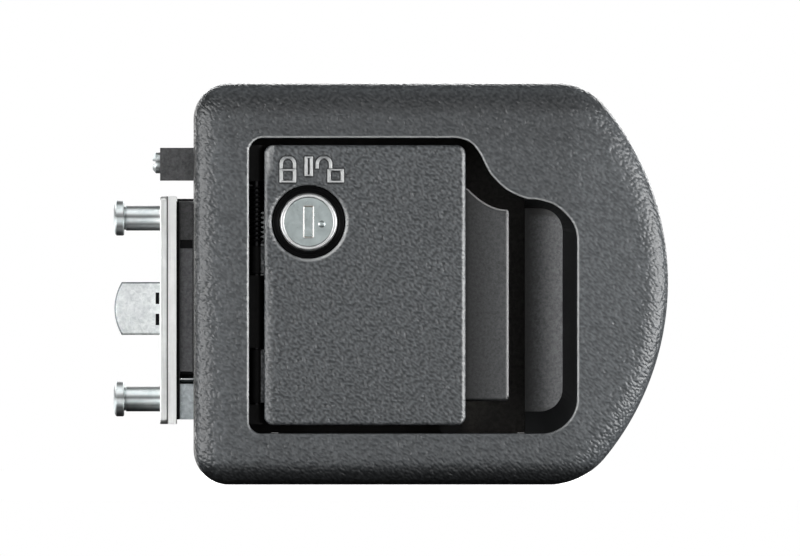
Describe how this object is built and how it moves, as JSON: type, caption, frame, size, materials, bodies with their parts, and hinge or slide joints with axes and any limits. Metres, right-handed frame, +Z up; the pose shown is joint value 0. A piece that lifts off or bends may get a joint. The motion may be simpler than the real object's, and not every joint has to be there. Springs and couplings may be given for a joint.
{
  "type": "flush paddle door lock",
  "caption": "Flush-mounted paddle handle door lock: pull paddle with key cylinder in a bezel, drawing a sprung edge bolt through a latch frame.",
  "frame": {"origin": "middle of the bezel outline on the door skin (back face of the gasket)", "axes": "+X right as seen from outside the door (the bolt points to -X), +Y into the door, +Z up"},
  "size_m": [0.1555, 0.036, 0.1124],
  "materials": {
    "black_coat": "textured powder coat",
    "black_satin": "smooth satin black",
    "black_block": "matt black",
    "rubber": "matt",
    "zinc": "zinc plated",
    "zinc_cast": "bare cast, mottled",
    "bright_plate": "bright plated",
    "spring_steel": "drawn wire",
    "brass": "stamped"
  },
  "bodies": {
    "body": {"bezel": "black_coat", "recess_pan": "black_satin", "flange_gasket": "rubber", "pan_screws": "zinc", "back_cover": "black_satin", "cover_screws": "zinc", "paddle_bumpers": "rubber", "hinge_pin": "spring_steel", "paddle_spring": "spring_steel", "latch_frame": "zinc", "frame_screws": "zinc", "face_plate": "zinc", "bolt_guide": "black_block", "upper_nut_block": "black_block", "lower_nut_block": "zinc_cast", "tie_rod": "bright_plate", "edge_screws": "bright_plate", "lug_screw": "bright_plate", "bolt_spring": "spring_steel"},
    "bolt": {"bolt": "zinc_cast", "bolt_tail": "zinc", "tail_rivets": "zinc"},
    "paddle": {"paddle": "black_coat", "cylinder_shell": "bright_plate", "cylinder_collar": "rubber", "cylinder_clip": "zinc", "slide_screws": "zinc"},
    "plug": {"key_plug": "bright_plate", "wafer_tumblers": "brass", "tail_cam": "zinc", "cam_screw": "zinc"},
    "shutter": {"dust_shutter": "bright_plate"},
    "slide": {"lock_slide": "zinc"}
  },
  "joints": [
    {"name": "paddle_pull", "type": "hinge", "parent": "body", "child": "paddle", "pos_m": [-0.0485, -0.0028, 0], "axis": [0, 0, -1], "range_deg": [0, 40], "stiffness_Nm_per_rad": 0.35, "springref_deg": -14.32, "deforming": ["paddle_spring"]},
    {"name": "bolt_throw", "type": "slide", "parent": "body", "child": "bolt", "axis": [1, 0, 0], "range_m": [0, 0.013], "stiffness_N_per_m": 500, "springref_m": -0.008, "deforming": ["bolt_spring"]},
    {"name": "key_turn", "type": "hinge", "parent": "paddle", "child": "plug", "pos_m": [-0.034, 0, 0.0174], "axis": [0, -1, 0], "range_deg": [-45, 45]},
    {"name": "shutter_swing", "type": "hinge", "parent": "plug", "child": "shutter", "pos_m": [-0.0355, -0.0076, 0.0174], "axis": [0, 0, 1], "range_deg": [0, 80], "stiffness_Nm_per_rad": 0.0004, "springref_deg": -17.19},
    {"name": "slide_lift", "type": "slide", "parent": "paddle", "child": "slide", "axis": [0, 0, 1], "range_m": [-0.00424, 0.00424]}
  ],
  "couplings": [
    {"joint": "bolt_throw", "follows": "paddle_pull", "m_per_rad": 0.018621},
    {"joint": "key_turn", "follows": "slide_lift", "rad_per_m": -185.12}
  ]
}
